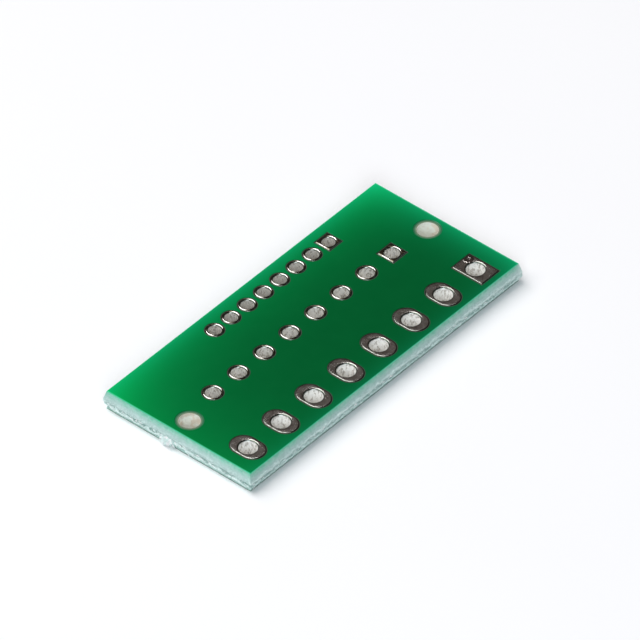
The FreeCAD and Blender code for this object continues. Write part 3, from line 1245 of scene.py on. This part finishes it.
def lay_strand(strand, root, direction, length, thickness, spin):
    """A copy of the strand from its root along a direction, turned about itself."""
    copy = strand.copy()
    copy.data = strand.data.copy()
    bpy.context.scene.collection.objects.link(copy)
    turn_to = Vector((0, 0, 1)).rotation_difference(direction).to_matrix().to_4x4()
    size = Matrix.Diagonal((thickness, thickness, length, 1))
    copy.data.transform(Matrix.Translation(root) @ turn_to @ Matrix.Rotation(spin, 4, "Z") @ size)
    return copy


def web_strands(chance, strand, along, outward, half_side, half_across):
    """Strands along one torn side: most lie on the web and the rest are short stubs."""
    pieces = []
    for _ in range(round(2 * half_side / STRAND_SPACING)):
        level = chance.uniform(*WEB_LEVELS)
        stand = chance.uniform(*WEB_STAND)
        root = along * chance.uniform(-half_side, half_side)
        root += outward * (half_across + stand) + Vector((0, 0, level))
        lying = chance.random() < LYING_SHARE
        way = chance.choice((-1, 1))
        direction = along * way + Vector((0, 0, chance.uniform(-0.5, 0.3)))
        direction += outward * chance.uniform(-0.02, 0.08)
        length = chance.uniform(*LYING_LENGTH)
        if not lying:
            direction = outward + along * chance.uniform(-1.2, 1.2)
            direction += Vector((0, 0, chance.uniform(-1.6, 0.2)))
            length = chance.uniform(*STUB_LENGTH)
        thickness = chance.uniform(*WEB_THICKNESS)
        spin = chance.uniform(0, 2 * math.pi)
        pieces.append(lay_strand(strand, root, direction.normalized(), length, thickness, spin))
    return pieces


def tuft_strands(chance, strand):
    """The drooping tuft, thickest in its middle and held inside the board's own box."""
    pieces = []
    edge_x = -HALF_LENGTH - TUFT_STAND
    for _ in range(TUFT_STRANDS):
        across = max(-1, min(1, chance.gauss(0, 0.5)))
        level = chance.uniform(*TUFT_LEVELS)
        root_x = edge_x + chance.uniform(0.0, TUFT_STAND)
        root = Vector((root_x, TUFT_CENTRE + TUFT_HALF_WIDTH * across, level))
        direction = Vector((-chance.uniform(0.4, 1.2), chance.uniform(-1.4, 0.3), 0))
        direction.z = -chance.uniform(0.1, 1.2)
        direction.normalize()
        length = min(chance.uniform(*TUFT_LENGTH), (root.x - CAD_LOW.x) / -direction.x)
        thickness = chance.uniform(*TUFT_THICKNESS)
        spin = chance.uniform(0, 2 * math.pi)
        pieces.append(lay_strand(strand, root, direction, length, thickness, spin))
    return pieces


def loose_fibres():
    """Strands laid along the torn web of all four sides, and the tuft, as one piece."""
    chance = random.Random(FIBRE_SEED)
    strand = strand_mesh()
    along_x, along_y = Vector((1, 0, 0)), Vector((0, 1, 0))
    sides = (
        (along_x, -along_y, HALF_LENGTH, HALF_WIDTH),
        (along_x, along_y, HALF_LENGTH, HALF_WIDTH),
        (along_y, -along_x, HALF_WIDTH, HALF_LENGTH),
        (along_y, along_x, HALF_WIDTH, HALF_LENGTH),
    )
    pieces = []
    for side in sides:
        pieces += web_strands(chance, strand, *side)
    pieces += tuft_strands(chance, strand)
    bpy.data.objects.remove(strand)
    bpy.ops.object.select_all(action="DESELECT")
    for piece in pieces:
        piece.select_set(True)
    bpy.context.view_layer.objects.active = pieces[0]
    bpy.ops.object.join()
    fibres = bpy.context.object
    fibres.name = "loose_fibres"
    fibres.data.name = fibres.name
    return fibres


def keep_in_box(piece):
    """No fibre or torn point may stand past the board's own box."""
    for vertex in piece.data.vertices:
        for axis in range(3):
            vertex.co[axis] = min(max(vertex.co[axis], CAD_LOW[axis]), CAD_HIGH[axis])


# Build every piece
plated_holes()
top_mask()
board = laminate()
keep_in_box(board)
close_piece(board, "laminate", LAMINATE, "substrate")
fibres = loose_fibres()
keep_in_box(fibres)
close_piece(fibres, "laminate", FIBRE)

# The underside's mask and the tracks stay as the CAD made them and only get a finish
for node, piece in frame["nodes"].items():
    if node == "solder_mask_bottom":
        finish = GREEN_MASK
    elif node.startswith("track"):
        finish = COPPER
    else:
        continue
    piece.data.materials.clear()
    piece.data.materials.append(finish)

# Floor, light and surroundings, in metres
FLOOR_SIZE = 0.6
SOFTBOX_DISTANCE = 0.65
BACKDROP_COLOR = (1.0, 0.83, 0.72)
BACKDROP_STRENGTH = 0.047

bpy.ops.object.select_all(action="DESELECT")
bpy.ops.mesh.primitive_plane_add(size=FLOOR_SIZE)
floor = bpy.context.object
floor.name = "floor"
floor.data.materials.append(floor_finish())


def softbox(name, direction, width, height, power, color):
    """An area light that faces the board from a direction."""
    direction = Vector(direction).normalized()
    bpy.ops.object.light_add(type="AREA", location=direction * SOFTBOX_DISTANCE)
    light = bpy.context.object
    light.name = name
    light.rotation_euler = direction.to_track_quat("Z", "Y").to_euler()
    light.data.shape = "RECTANGLE"
    light.data.size = width
    light.data.size_y = height
    light.data.energy = power
    light.data.color = color


softbox("main_softbox", (-0.20, 0.42, 0.88), 0.78, 0.55, 4.80, (1.0, 0.99, 1.0))
softbox("fill_softbox", (-0.63, -0.58, 0.52), 0.36, 0.29, 2.12, (0.83, 0.92, 0.99))
softbox("side_softbox", (0.57, -0.46, 0.68), 0.19, 0.17, 0.05, (0.60, 0.80, 1.0))

world = bpy.data.worlds.new("studio")
bpy.context.scene.world = world
world.use_nodes = True
backdrop = world.node_tree.nodes["Background"]
backdrop.inputs["Color"].default_value = (*BACKDROP_COLOR, 1)
backdrop.inputs["Strength"].default_value = BACKDROP_STRENGTH
